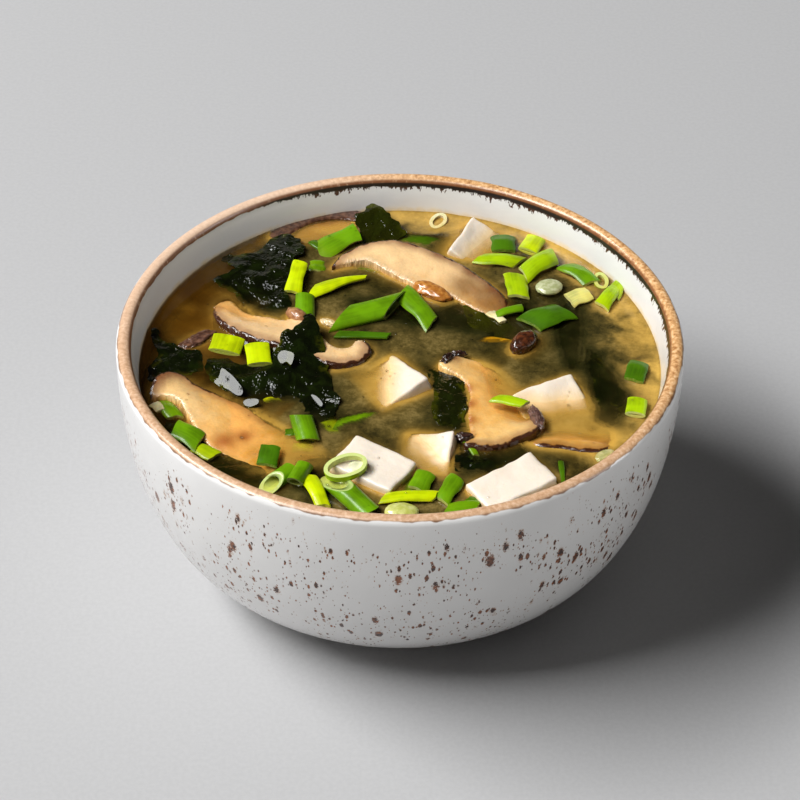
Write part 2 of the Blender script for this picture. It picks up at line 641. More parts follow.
def bowl_profile():
    """(radius, height, way from the lip's top) round the section, from foot to centre."""
    outside = outside_curve()
    outside = resampled(outside[outside[:, 0] > BODY_FOOT_RADIUS], 1.3, closed=False)
    angles = np.linspace(0, math.pi, 17)[1:-1]
    lip = np.column_stack([RIM_RADIUS - LIP_RADIUS + LIP_RADIUS * np.cos(angles),
                           BOWL_HEIGHT - LIP_RADIUS + LIP_RADIUS * np.sin(angles)])
    inside = resampled(inside_curve(), 1.3, closed=False)
    foot = np.array([[0.5, FOOT_RECESS], [14.0, FOOT_RECESS], [FOOT_INNER_RADIUS - 1.2, FOOT_RECESS],
                     [FOOT_INNER_RADIUS - 0.6, FOOT_RECESS - 0.5], [FOOT_INNER_RADIUS, 0.15],
                     [FOOT_INNER_RADIUS + 0.4, 0.0], [FOOT_RADIUS - 0.8, 0.0],
                     [FOOT_RADIUS - 0.25, 0.25], [FOOT_RADIUS, 0.9]])
    section = np.vstack([foot, outside[::-1], lip, inside])
    steps = np.linalg.norm(np.diff(section, axis=0), axis=1)
    way = np.concatenate([[0], np.cumsum(steps)])
    top = way[len(foot) + len(outside) + len(angles) // 2]
    return np.column_stack([section, top - way])


def turned(name, profile, materials, attributes=None):
    """A body of revolution, closed at both ends of its profile."""
    count = len(profile)
    points = []
    for i in range(BOWL_STEPS):
        angle = 2 * math.pi * i / BOWL_STEPS
        for radius, height in profile[:, :2]:
            points.append((radius * math.cos(angle), radius * math.sin(angle), height - LEVEL))
    faces = []
    for i in range(BOWL_STEPS):
        a, b = i * count, (i + 1) % BOWL_STEPS * count
        faces += [(a + k, b + k, b + k + 1, a + k + 1) for k in range(count - 1)]
    faces.append(tuple(i * count for i in reversed(range(BOWL_STEPS))))
    faces.append(tuple((i + 1) * count - 1 for i in range(BOWL_STEPS)))
    return mesh_piece(name, points, faces, materials, attributes)


def make_bowl():
    profile = bowl_profile()
    lip = np.tile(profile[:, 2], BOWL_STEPS)
    bowl = turned("stoneware_bowl", profile, [stoneware()], {"lip": lip})
    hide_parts("bowl")
    return bowl


def wall_radius(height):
    """The inside radius of the bowl at a height above the soup's surface."""
    curve = inside_curve()
    return float(np.interp(-(height + LEVEL), -curve[:, 1], curve[:, 0]))


def make_core():
    """The cloudy broth below the surface, lumpy on top, down to the bowl's bottom."""
    inside = inside_curve()
    below = inside[inside[:, 1] < LEVEL - CORE_DEPTH]
    below = resampled(below, 2.0, closed=False)[::-1] + [0.4, -0.4]
    rings = np.linspace(wall_radius(-CORE_DEPTH) + 0.4, 0.5, 60)
    top = np.column_stack([rings, np.full(len(rings), LEVEL - CORE_DEPTH)])
    core = turned("broth_deep", np.vstack([below, top]), [broth_core()])
    for vert in core.data.vertices:
        if vert.co.z > (LEVEL - CORE_DEPTH - 0.1) * MM:
            vert.co.z += 0.9 * MM * noise.fractal(vert.co * 140, 0.8, 2.0, 3)
    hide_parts("soup")
    return core


def joined_tree(pieces):
    """One search tree over the faces of all these pieces, in the file's millimetres."""
    points, faces = [], []
    for piece in pieces:
        start = len(points)
        points += [v.co / MM - Vector((0, 0, LEVEL)) for v in piece.data.vertices]
        faces += [[start + i for i in p.vertices] for p in piece.data.polygons]
    return BVHTree.FromPolygons(points, faces)


SOFTNESS = 1.3


def make_film(toppings):
    """The soup's surface, drawn up a little where it wets the wall and the toppings."""
    tree = joined_tree(toppings)
    pale = joined_tree([piece for piece in toppings if piece.name.startswith(("tofu", "shiitake"))])
    dark = joined_tree([piece for piece in toppings if piece.name.startswith("wakame")])
    radius = wall_radius(0) + 0.3
    angles = np.linspace(0, 2 * math.pi, 601)[:-1]
    outline = np.column_stack([radius * np.cos(angles), radius * np.sin(angles), np.zeros(600)])
    wall = inside_curve()

    def top(points):
        heights = 0.7 * np.exp((np.hypot(*points.T) - radius) / 0.8)
        for i, (x, y) in enumerate(points):
            found = tree.find_nearest((x, y, 0.2), 3.0)[3]
            if found is not None:
                heights[i] += 0.22 * math.exp(-found / 1.4)
        return heights

    def softened(measure):
        """A film attribute: the measure averaged over five places, as cloudy broth blurs."""
        steps = ((0, 0), (SOFTNESS, 0), (-SOFTNESS, 0), (0, SOFTNESS), (0, -SOFTNESS))

        def values(points, edge):
            return np.array([sum(measure(x + dx, y + dy) for dx, dy in steps) / 5 for x, y in points])

        return values

    def depth_at(x, y):
        """The broth's depth down to the first topping, or to the wall."""
        to_wall = np.interp(math.hypot(x, y), wall[::-1, 0], LEVEL - wall[::-1, 1])
        hit = tree.ray_cast((x, y, 30.0), (0, 0, -1), 30.0 + CORE_DEPTH)[0]
        below = CORE_DEPTH if hit is None else max(-hit.z, 0.0)
        return min(max(to_wall, 0.0), below, CORE_DEPTH)

    def glow_at(x, y):
        """1 where a pale topping lies just under the surface, fading away from it."""
        hit = pale.ray_cast((x, y, 30.0), (0, 0, -1), 30.0 + CORE_DEPTH)[0]
        if hit is not None:
            return math.exp(min(hit.z, 0.0) / 3.2)
        gap = pale.find_nearest((x, y, -0.8), 6.0)[3]
        return 0.0 if gap is None else 0.5 * math.exp(-gap / 1.1)

    def gloom(points, edge):
        """1 at the seaweed, fading away from it, where its sunk parts darken the broth."""
        gaps = [dark.find_nearest((x, y, -0.8), 12.0)[3] for x, y in points]
        return np.array([0.0 if gap is None else math.exp(-gap / 2.8) for gap in gaps])

    attributes = {"depth": softened(depth_at), "glow": softened(glow_at), "gloom": gloom}
    film = sheet("broth_surface", outline, 0.55, top, FILM_THICKNESS, broth_surface(), attributes)
    film.data.materials.append(broth_underside())
    for polygon in film.data.polygons:
        polygon.material_index = 1 if polygon.normal.z < 0.2 else 0
    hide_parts("soup")
    return film


def make_bubbles(toppings):
    """Tiny domes on the open surface, which catch the light."""
    tree = joined_tree(toppings)
    seeds = np.random.default_rng(5)
    bm = bmesh.new()
    made = 0
    while made < BUBBLES:
        x, y = seeds.uniform(-64, 64, 2)
        radius = seeds.uniform(0.15, 0.42)
        if math.hypot(x, y) > 64 or tree.find_nearest((x, y, 0.2), 2.2)[0] is None and made % 3:
            continue
        hit = tree.ray_cast((x, y, 30.0), (0, 0, -1), 30.0)[0]
        height = hit.z if hit is not None else 0.0
        matrix = Matrix.Translation((x, y, height)) @ Matrix.Diagonal((1, 1, 0.7, 1))
        bmesh.ops.create_icosphere(bm, subdivisions=2, radius=radius, matrix=matrix)
        made += 1
    points = [v.co.copy() for v in bm.verts]
    faces = [[v.index for v in face.verts] for face in bm.faces]
    bm.free()
    piece = mesh_piece("broth_bubbles", points, faces, [bubble()], sharp=180)
    return piece


# ----------------------------------------------------------------------- tofu

# Size, heading, how far and to which bearing each block leans, and how much lower it sits.
TOFU_BLOCKS = {
    "tofu_centre": ((17.0, 15.5, 14.0), -55, (21, 180), 1.3),
    "tofu_right": ((17.5, 16.5, 14.0), 25, (21, -80), 2.2),
    "tofu_front": ((18.5, 13.2, 13.0), -32, (3, -60), 0.5),
    "tofu_small": ((15.5, 13.5, 12.0), 80, (24, 212), 1.5),
    "tofu_front_right": ((20.5, 11.6, 12.0), 34, (4, -110), 0.4),
    "tofu_back": ((16.5, 13.0, 12.0), 66, (27, -30), -0.6),
}
TOFU_CUTS = 22
TOFU_ROUND = 0.55


def lean_matrix(degrees, bearing):
    towards = math.radians(bearing)
    axis = Vector((-math.sin(towards), math.cos(towards), 0.0))
    return Matrix.Rotation(math.radians(degrees), 4, axis)


def turn(heading, lean):
    return lean_matrix(*lean) @ Matrix.Rotation(math.radians(heading), 4, "Z")


def make_tofu(node, size, heading, lean, drop, material):
    """A soft block with worn edges, uneven faces and chipped corners."""
    bm = bmesh.new()
    bmesh.ops.create_cube(bm, size=1.0)
    bmesh.ops.subdivide_edges(bm, edges=bm.edges[:], cuts=TOFU_CUTS, use_grid_fill=True)
    half = Vector(size) / 2
    seed = Vector(size) * 3.7 + Vector((heading, 0, 0))
    points = []
    for vert in bm.verts:
        p = Vector([c * s for c, s in zip(vert.co, size)])
        worn = TOFU_ROUND * (1.1 + 0.7 * noise.noise(p * 0.35 + seed))
        q = Vector([max(-h + worn, min(h - worn, c)) for c, h in zip(p, half)])
        d = p - q
        p = q + d.normalized() * worn if d.length > 1e-6 else p
        p += noise.noise_vector(p * 0.16 + seed) * 0.45 + noise.noise_vector(p * 0.7 + seed) * 0.10
        points.append(p)
    faces = [[v.index for v in face.verts] for face in bm.faces]
    bm.free()
    middle = middle_of(node) - Vector((0, 0, drop))
    matrix = Matrix.Translation(middle) @ turn(heading, lean)
    block = mesh_piece(node + "_block", [matrix @ p for p in points], faces, [material], sharp=80)
    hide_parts(node)
    return block


# ------------------------------------------------------------------- shiitake

# Slices of cap lying on a cut side. Outline points are (x, y, height) from the
# middle of the node's box in X and Y, clockwise, and the first and last point of
# the runs along the skin and along the gills. Stains are (x, y, radius).
SLICES = {
    "shiitake_left": {
        "outline": (
            (-22.1, 10.8, 0.2), (-20.8, 15.2, -0.9), (-17.6, 16.6, -1.2), (-15.2, 13.2, -0.9),
            (-11.7, 9.4, -0.2), (-6.7, 6.9, 0.9), (-2.6, 5.2, 1.3), (0.6, 6.4, 1.5),
            (3.2, 3.6, 1.9), (4.4, -0.2, 2.0), (8.2, -3.2, 2.0), (11.5, -6.6, 1.5),
            (15.3, -6.8, 1.5), (17.4, -4.6, 2.2), (20.1, -5.2, 2.4), (21.4, -8.2, 1.5),
            (19.1, -12.3, 1.4), (14.7, -14.5, 1.7), (9.4, -14.6, 2.0), (2.6, -10.7, 2.6),
            (-4.2, -7.8, 2.9), (-11.0, -4.9, 2.8), (-16.6, -0.2, 2.3), (-20.7, 4.6, 1.4)),
        "skin": (14, 24), "gills": (1, 13), "soak": 0.15,
    },
    "shiitake_back": {
        "outline": (
            (-24.3, 4.9, 1.4), (-21.4, 10.6, 2.0), (-15.9, 14.0, 2.8), (-9.5, 15.6, 3.2),
            (-3.0, 14.3, 3.4), (3.7, 10.7, 3.2), (10.6, 6.6, 2.6), (16.9, 1.1, 1.9),
            (22.3, -5.2, 1.2), (24.4, -10.6, 0.4), (20.5, -15.7, 0.2), (14.0, -11.3, 0.6),
            (8.6, -7.0, 1.2), (2.8, -5.2, 1.2), (-2.1, -2.4, 1.6), (-8.5, 2.5, 2.2),
            (-14.6, 7.0, 2.4), (-20.5, 6.4, 1.8)),
        "skin": (0, 9), "gills": (10, 17), "stain": ((2.4, -5.0, 3.0),), "soak": 0.2,
        "shade": ((12.0, -3.0, 6.0), (18.5, -8.0, 8.0), (22.0, -10.0, 6.0)),
        "cap": ((-3.0, 14.6, 3.5), (6.0, 9.6, 3.6), (15.0, 2.6, 3.6), (21.0, -4.0, 3.6)),
    },
    "shiitake_front_left": {
        "outline": (
            (-23.2, 10.0, 2.2), (-22.1, 15.4, 3.4), (-18.9, 18.8, 3.0), (-15.3, 18.6, 2.0),
            (-11.9, 16.0, 1.2), (-6.2, 12.8, 0.4), (1.1, 8.8, -0.2), (8.4, 2.3, -0.7),
            (16.7, -4.0, -1.5), (23.3, -11.0, -2.8), (21.7, -16.6, -3.2), (13.5, -19.8, -2.5),
            (4.6, -18.8, -1.7), (-2.1, -12.3, -0.6), (-8.1, -6.4, 0.4), (-11.9, 0.3, 1.4),
            (-15.0, 6.8, 2.4), (-18.6, 9.4, 2.2)),
        "skin": (0, 8), "gills": (12, 17), "stain": ((-3.0, -6.4, 4.6), (2.2, -4.0, 3.0)),
        "cap": ((-22.6, 14.6, 5.2), (-19.4, 18.8, 4.6), (-15.0, 19.2, 3.0), (-9.0, 15.4, 2.4)),
        "soak": 0.45,
    },
    "shiitake_centre": {
        "outline": (
            (-13.0, 14.5, 2.4), (-10.9, 18.0, 2.2), (-6.6, 18.5, 1.4), (-1.3, 17.3, 0.2),
            (4.2, 13.2, -1.4), (8.5, 5.7, -2.4), (10.4, -3.0, -1.8), (14.0, -6.6, 2.0),
            (12.1, -12.8, 2.4), (7.9, -15.6, 1.8), (2.0, -18.5, 1.4), (-3.7, -18.6, 1.6),
            (-6.7, -17.6, 1.8), (-4.9, -13.5, 0.9), (-5.5, -3.3, 0.5), (-5.2, 5.0, 0.6),
            (-7.2, 9.6, 1.4), (-10.9, 12.4, 1.8)),
        "skin": (7, 12), "gills": (13, 17), "stain": ((-5.4, 6.0, 2.6), (-4.9, 0.0, 3.4), (-5.0, -7.0, 3.4), (-5.6, -13.0, 2.8)),
        "cap": ((11.5, -6.6, 4.2), (-9.0, 17.5, 3.6)), "soak": 0.6,
    },
    "shiitake_right": {
        "outline": (
            (-12.7, 9.0, -3.6), (-7.1, 11.9, -3.4), (0.7, 11.0, -3.2), (6.5, 7.6, -2.4),
            (10.6, 2.6, -1.0), (8.6, -3.4, 0.4), (3.7, -5.0, 0.7), (-3.9, -3.6, 0.6),
            (-10.0, -2.8, 0.4), (-13.5, 0.2, -0.8)),
        "skin": (4, 8), "gills": (0, 2), "soak": 0.9, "dim": 0.3,
    },
    "shiitake_sunk": {
        "outline": (
            (-10.3, -1.5, -0.9), (-6.5, 1.7, -0.5), (-2.1, 4.0, -0.3), (2.7, 5.6, -0.2),
            (7.5, 6.5, -0.3), (10.3, 4.5, -0.8), (9.3, 0.1, -1.6), (4.6, -4.9, -2.6),
            (-0.9, -6.4, -3.0), (-6.6, -5.5, -2.4)),
        "skin": (0, 5), "gills": (6, 9), "soak": 1.0, "dim": 0.5,
        "cap": ((-9.0, 0.4, 3.4), (-4.0, 3.6, 3.4), (2.0, 5.8, 3.4), (8.0, 6.0, 3.6)),
    },
}
SLICE_THICKNESS = 5.5


def run_of(outline, run, per_span):
    """The stretch of a resampled outline between two of its named points."""
    return outline[run[0] * per_span:run[1] * per_span + 1]


def make_slice(node, shape, material):
    centre = middle_of(node)
    outline = np.array(shape["outline"], float) + [centre.x, centre.y, 0]
    curve = catmull(outline, 8)
    closed = np.vstack([curve, curve[:1]])
    skin_line = run_of(closed, shape["skin"], 8)
    gill_line = run_of(closed, shape["gills"], 8)
    rim = resampled(ragged(curve, 0.22, 1.1, 3.0), 0.5)
    skin_line, gill_line = (resampled(line, 0.4, closed=False) for line in (skin_line, gill_line))

    def along(points, edge):
        return nearest_on(points, gill_line)[1] * 0.4

    def spots(points, kind):
        amount = np.zeros(len(points))
        for x, y, radius in shape.get(kind, ()):
            gap = np.hypot(points[:, 0] - centre.x - x, points[:, 1] - centre.y - y)
            amount += np.exp(-(gap / radius) ** 2 * 2)
        return np.clip(amount, 0, 1)

    attributes = {
        "skin": lambda points, edge: distance_to(points, skin_line),
        "gills": lambda points, edge: distance_to(points, gill_line),
        "along": along,
        "stain": lambda points, edge: spots(points, "stain"),
        "cap": lambda points, edge: spots(points, "cap"),
        "soak": lambda points, edge: np.full(len(points), shape["soak"]),
        "shade": lambda points, edge: np.maximum(spots(points, "shade"), shape.get("dim", 0.0)),
    }
    top = rippled(spread_heights(curve, 0.25), 0.25, 5.0, 1.0)
    piece = sheet(node + "_slice", rim, 0.62, top, SLICE_THICKNESS, material, attributes, 0.7)
    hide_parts(node)
    return piece


# Lumps that stand for a node: size, heading, roughness of shape.
NODE_LUMPS = {
    "shiitake_nugget": ("nugget", (9.8, 5.8, 5.2), 52, 0.09),
    "scallion_pale_round": ("onion", (8.6, 6.4, 3.0), 0, 0.05),
    "scallion_clear_ring": ("clear", (7.6, 6.6, 2.6), 20, 0.06),
}
# Small lumps besides: kind, middle, size, heading.
SMALL_LUMPS = {
    "shiitake_stem_left": ("stem", (-28.4, 18.6, 1.5), (6.8, 4.2, 3.8), -40),
    "shiitake_stem_back": ("stem_wet", (8.0, 31.2, 0.9), (12.4, 5.6, 3.6), -36),
    "shiitake_scrap": ("purple", (-54.9, 8.6, -0.1), (11.4, 4.4, 2.6), 41),
    "shiitake_curl_top": ("curl", (12.4, -0.6, 1.9), (5.2, 2.6, 2.6), 62),
    "shiitake_curl_tip": ("curl", (15.4, 2.0, 1.7), (4.4, 2.0, 2.0), 10),
    "shiitake_curl_low": ("curl", (16.6, -31.6, 0.9), (4.8, 3.0, 2.4), -10),
    "shiitake_curl_right": ("purple", (35.4, -24.0, 1.9), (9.5, 3.2, 3.0), -76),
    "radish_scrap": ("clear", (52.4, -37.4, 0.0), (6.4, 3.6, 1.8), 42),
    "tofu_crumb": ("crumb", (-19.6, 16.8, 0.2), (5.4, 2.8, 2.2), -35),
}


UNEVEN = {"curl": 0.34, "purple": 0.26, "crumb": 0.2}  # how rough each kind's shape is
# Bands of the cap's brown skin that show beside a slice: an outer and an inner edge.
SKIN_BANDS = {
    "shiitake_rim_sunk": (
        ((-37.4, 56.6, 0.3), (-33.4, 63.2, 0.8), (-26.6, 68.4, 1.2), (-18.4, 69.6, 1.2),
         (-11.2, 68.0, 1.0), (-8.8, 64.4, 0.6)),
        ((-12.0, 63.8, 0.7), (-18.2, 64.8, 0.9), (-24.6, 63.4, 0.8), (-29.8, 59.2, 0.5),
         (-33.4, 54.4, 0.1))),
}


def make_band(name, outer, inner, material):
    curve = catmull(np.array(outer + inner), 8)
    rim = resampled(curve, 0.4)
    piece = sheet(name, rim, 0.5, spread_heights(curve, 0.3), 1.4, material, {}, 0.5)
    return piece


def lump_materials():
    return {
        "nugget": glossy_lump("shiitake_dark_glossy", (0.030, 0.008, 0.003), (0.12, 0.032, 0.010)),
        "stem": glossy_lump("shiitake_stem", (0.26, 0.105, 0.035), (0.46, 0.22, 0.09), 0.45),
        "stem_wet": glossy_lump("shiitake_stem_wet", (0.34, 0.11, 0.016), (0.58, 0.25, 0.05)),
        "purple": glossy_lump("shiitake_cap_skin", (0.065, 0.030, 0.024), (0.17, 0.090, 0.068)),
        "curl": glossy_lump("shiitake_curl_skin", (0.010, 0.004, 0.003), (0.05, 0.018, 0.010), 0.2),
        "onion": glossy_lump("scallion_white", (0.46, 0.48, 0.10), (0.62, 0.62, 0.24), 0.3),
        "clear": glossy_lump("scallion_clear", (0.44, 0.48, 0.22), (0.70, 0.72, 0.44), 0.2, 0.25),
        "crumb": glossy_lump("tofu_crumb", (0.62, 0.50, 0.30), (0.78, 0.68, 0.48), 0.4),
    }


def make_lump(name, middle, size, heading, material, uneven=0.10):
    bm = bmesh.new()
    bmesh.ops.create_icosphere(bm, subdivisions=5, radius=0.5)
    matrix = Matrix.Translation(middle) @ turn(heading, (0, 0))
    seed = Vector((middle[0], middle[1], 0))
    points = []
    for vert in bm.verts:
        swell = 1 + 0.2 * vert.co.x + uneven * noise.fractal(vert.co * 3.1 + seed, 0.8, 2.0, 3)
        points.append(matrix @ Vector([c * s * swell for c, s in zip(vert.co, size)]))
    faces = [[v.index for v in face.verts] for face in bm.faces]
    bm.free()
    return mesh_piece(name, points, faces, [material], sharp=180)


def make_lumps():
    materials = lump_materials()
    made = []
    for node, (kind, size, heading, uneven) in NODE_LUMPS.items():
        piece = make_lump(node + "_lump", middle_of(node), size, heading, materials[kind], uneven)
        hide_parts(node)
        made.append(piece)
    for name, (outer, inner) in SKIN_BANDS.items():
        made.append(make_band(name, outer, inner, materials["purple"]))
    for name, (kind, middle, size, heading) in SMALL_LUMPS.items():
        piece = make_lump(name, middle, size, heading, materials[kind], UNEVEN.get(kind, 0.10))
        made.append(piece)
    return made


# --------------------------------------------------------------------- wakame

# Outlines as for the slices, then the ruffles' depth and size, and how olive.
LEAVES = {
    "wakame_back_left": (
        ((-11.1, 7.9, 0.2), (-2.7, 9.1, 0.4), (3.8, 16.5, 0.9), (7.2, 17.2, 1.3),
         (11.0, 14.0, 1.6), (12.1, 9.0, 1.5), (8.9, 4.5, 1.0), (8.0, -9.7, 0.8),
         (9.4, -16.0, 0.2), (4.8, -17.4, -0.6), (0.3, -16.2, -0.8), (-4.3, -13.2, -0.5),
         (-6.8, -9.0, 0.2), (-12.2, -3.5, 0.3), (-7.4, 1.3, 0.6)), 1.0, 7.0, 0.0),
    "wakame_back": (
        ((-3.4, 7.2, 4.2), (-4.8, 4.4, 3.8), (-7.8, 2.6, 3.0), (-6.6, -1.2, 1.6), (-5.0, -6.2, 0.2),
         (1.3, -6.4, 0.0), (6.6, -2.2, 1.0), (1.4, 4.4, 3.4)), 0.5, 6.0, 0.25),
    "wakame_centre": (
        ((8.4, 19.2, 4.2), (11.2, 16.4, 4.4), (14.0, 4.5, 2.4), (16.2, -7.6, 1.2),
         (17.4, -15.4, 0.4), (14.9, -19.2, 0.2), (11.9, -21.8, -0.6), (8.9, -18.4, 0.0),
         (8.2, -13.0, 0.6), (1.9, -11.4, 0.4), (-2.7, -13.4, 0.0), (-8.6, -11.6, 0.2),
         (-14.6, -5.6, 0.6), (-17.6, 0.0, 0.6), (-16.9, 5.2, 0.4), (-12.4, 4.6, 0.6),
         (-7.8, 2.2, 0.9), (-1.0, 3.6, 2.2), (2.4, 11.0, 4.0), (5.4, 12.4, 4.4)), 1.2, 7.5, 0.0),
    "wakame_left": (
        ((-6.6, 10.8, 1.2), (-4.2, 6.4, 0.4), (1.5, 3.0, 0.4), (7.0, 0.2, 0.3),
         (7.1, -5.4, 0.2), (4.6, -8.2, 0.2), (0.5, -8.6, 0.2), (-3.6, -9.4, 0.2),
         (-6.2, -11.0, 0.2), (-6.9, -5.7, 0.4), (-5.2, 0.8, 0.6), (-7.0, 6.4, 1.0)),
        0.7, 6.0, 0.0),
    "wakame_middle": (
        ((-6.0, 13.6, -0.4), (-0.8, 11.4, 0.2), (3.8, 8.6, 0.5), (5.2, 2.0, 0.4),
         (5.4, -9.7, 0.3), (4.6, -13.2, -0.2), (1.8, -13.8, -0.6), (-3.4, -10.2, 0.2),
         (-3.2, -2.6, 0.4), (-3.8, 7.0, 0.2)), 0.7, 6.5, 0.1),
    "wakame_front": (
        ((-8.5, 1.8, 0.2), (-5.8, 5.2, 0.0), (1.6, 5.2, -0.2), (8.9, 2.8, -0.9),
         (5.6, -0.8, -0.4), (0.0, -3.6, -0.2), (-6.0, -5.0, 0.1), (-8.8, -2.8, 0.3)),
        0.7, 5.0, 0.0),
    "wakame_right": (
        ((-4.3, 15.6, 0.0), (-1.6, 11.4, -0.2), (2.9, 3.2, -0.6), (5.0, -5.3, -0.7),
         (3.1, -13.2, -0.8), (-0.5, -15.6, -0.8), (-3.1, -11.6, -0.6), (-3.9, -3.4, -0.3),
         (-4.5, 4.1, -0.1), (-4.9, 10.9, 0.1)), 0.6, 7.0, 0.05),
    "wakame_olive": (
        ((-7.1, 7.0, 0.2), (-2.2, 4.8, 0.2), (2.5, 2.4, 0.1), (7.0, -2.0, -0.2),
         (6.0, -6.0, -0.8), (0.3, -6.4, -1.0), (-3.8, -4.7, -0.8), (-6.4, 0.9, -0.2)),
        0.5, 6.0, 0.55),
}
# Leaves deep in the broth, as above but in soup coordinates.
SUNK_LEAVES = {
    "wakame_sunk_back": (
        ((-13.1, 28.4, -0.9), (0.0, 27.3, -0.5), (8.3, 23.4, -0.8), (19.2, 29.0, -0.4),
         (33.0, 29.3, -0.3), (36.8, 20.3, -0.4), (32.5, 9.2, -0.9), (21.8, 13.4, -0.7),
         (11.0, 15.4, -1.0), (0.1, 17.4, -0.8), (-10.8, 19.4, -1.2)), 0.6),
    "wakame_sunk_upright": (
        ((41.8, 21.3, -0.3), (43.9, 27.2, -0.2), (49.5, 29.6, -0.6), (49.7, 16.2, -0.5),
         (48.2, -0.4, -0.8), (44.4, -2.2, -0.6), (42.1, 7.2, -0.3)), 0.3),
    "wakame_sunk_right": (
        ((50.1, 7.4, -0.2), (53.8, 4.9, -0.4), (59.0, -7.4, -0.5), (61.1, -17.0, -0.9),
         (52.8, -15.9, -0.5), (49.8, -11.8, -0.3)), 0.3),
    "wakame_sunk_front_left": (
        ((-60.6, -24.2, -0.8), (-55.1, -28.9, -0.5), (-44.3, -37.9, -0.6), (-34.5, -43.6, -0.7),
         (-34.2, -51.3, -0.9), (-43.7, -48.4, -0.5), (-54.4, -40.1, -0.5), (-60.0, -32.2, -0.7)), 0.4),
    "wakame_sunk_front_right": (
        ((14.6, -30.8, -0.3), (21.1, -28.7, -0.3), (31.4, -32.5, -0.5), (36.2, -42.3, -0.9),
         (31.0, -46.3, -0.9), (23.4, -45.7, -0.5), (18.4, -42.6, -0.5)), 0.4),
    "wakame_sunk_front": (
        ((-26.3, -40.3, -0.7), (-17.4, -38.6, -1.0), (-13.4, -47.1, -0.8), (-17.0, -54.9, -0.6),
         (-24.6, -51.9, -0.6)), 0.4),
}
# Folds lifted towards the front left, which shine: outlines, and the first corner's height.
WET_FOLDS = (
    (((-49.9, -8.9), (-48.5, -8.1), (-47.5, -5.5), (-45.4, -7.3), (-43.0, -10.2), (-40.4, -14.2),
      (-40.3, -16.3), (-42.0, -16.0), (-45.1, -13.1), (-48.2, -10.9)), 0.3),
    (((-41.3, -17.5), (-39.7, -17.2), (-36.5, -18.4), (-36.4, -19.8), (-38.8, -20.0),
      (-40.7, -18.9)), 0.6),
    (((-33.0, -2.1), (-31.9, -0.6), (-29.6, -1.4), (-27.5, -3.2), (-28.3, -6.2), (-29.9, -4.7),
      (-31.7, -4.7)), 3.4),
    (((-45.8, 13.0), (-43.8, 11.5), (-41.2, 8.1), (-39.7, 5.7), (-40.5, 5.3), (-43.2, 8.1),
      (-45.4, 11.1)), 1.2),
    (((-36.0, 3.0), (-34.3, 3.1), (-31.7, 2.0), (-32.7, 0.4), (-34.6, 1.4)), 1.6),
    (((-23.6, -15.3), (-22.3, -15.9), (-20.8, -17.5), (-19.7, -19.4), (-20.3, -20.1),
      (-22.0, -18.0)), 1.6),
)
FOLD_RISE = (0.455, 0.49)  # how steeply a fold rises to the right and to the back
FOLD_SHRINK = 0.8
WAKAME_THICKNESS = 0.75


def make_sunk_leaf(name, outline, ruffle, material):
    curve = catmull(np.array(outline), 8)
    rim = resampled(ragged(curve, 0.7, 3.0, outline[0][0]), 0.6)
    top = rippled(spread_heights(curve), ruffle, 6.0, outline[0][1])
    attributes = {"olive": lambda points, edge: np.full(len(points), 0.1)}
    piece = sheet(name, rim, 0.7, top, 0.6, material, attributes)
    return piece


def make_fold(number, corners, height, material):
    start = corners[0]
    points = [(x, y, height + (x - start[0]) * FOLD_RISE[0] + (y - start[1]) * FOLD_RISE[1])
              for x, y in corners]
    middle = np.mean(points, axis=0)
    curve = catmull(middle + (np.array(points) - middle) * FOLD_SHRINK, 8)
    rim = resampled(curve, 0.3)

    def top(points):
        flat = (points - start) @ np.array(FOLD_RISE) + height
        return flat + 0.06 * np.sin(points[:, 0] * 0.9) * np.sin(points[:, 1] * 0.8)

    attributes = {"olive": lambda points, edge: np.zeros(len(points))}
    piece = sheet(f"wakame_fold_{number}", rim, 0.4, top, 0.5, material, attributes)
    return piece


def make_wakame(node, outline, ruffle, size, olive, material):
    centre = middle_of(node)
    curve = catmull(np.array(outline) + [centre.x, centre.y, 0], 8)
    rim = resampled(ragged(curve, 1.0, 2.6, centre.x), 0.5)
    top = rippled(spread_heights(curve), ruffle, size, centre.y)

    def thickness(points, edge):
        return WAKAME_THICKNESS * (0.35 + 0.65 * np.clip(edge / 1.2, 0, 1))

    attributes = {"olive": lambda points, edge: np.full(len(points), olive)}
    piece = sheet(node + "_leaf", rim, 0.6, top, thickness, material, attributes)
    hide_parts(node)
    return piece


# ------------------------------------------------------------------ scallions

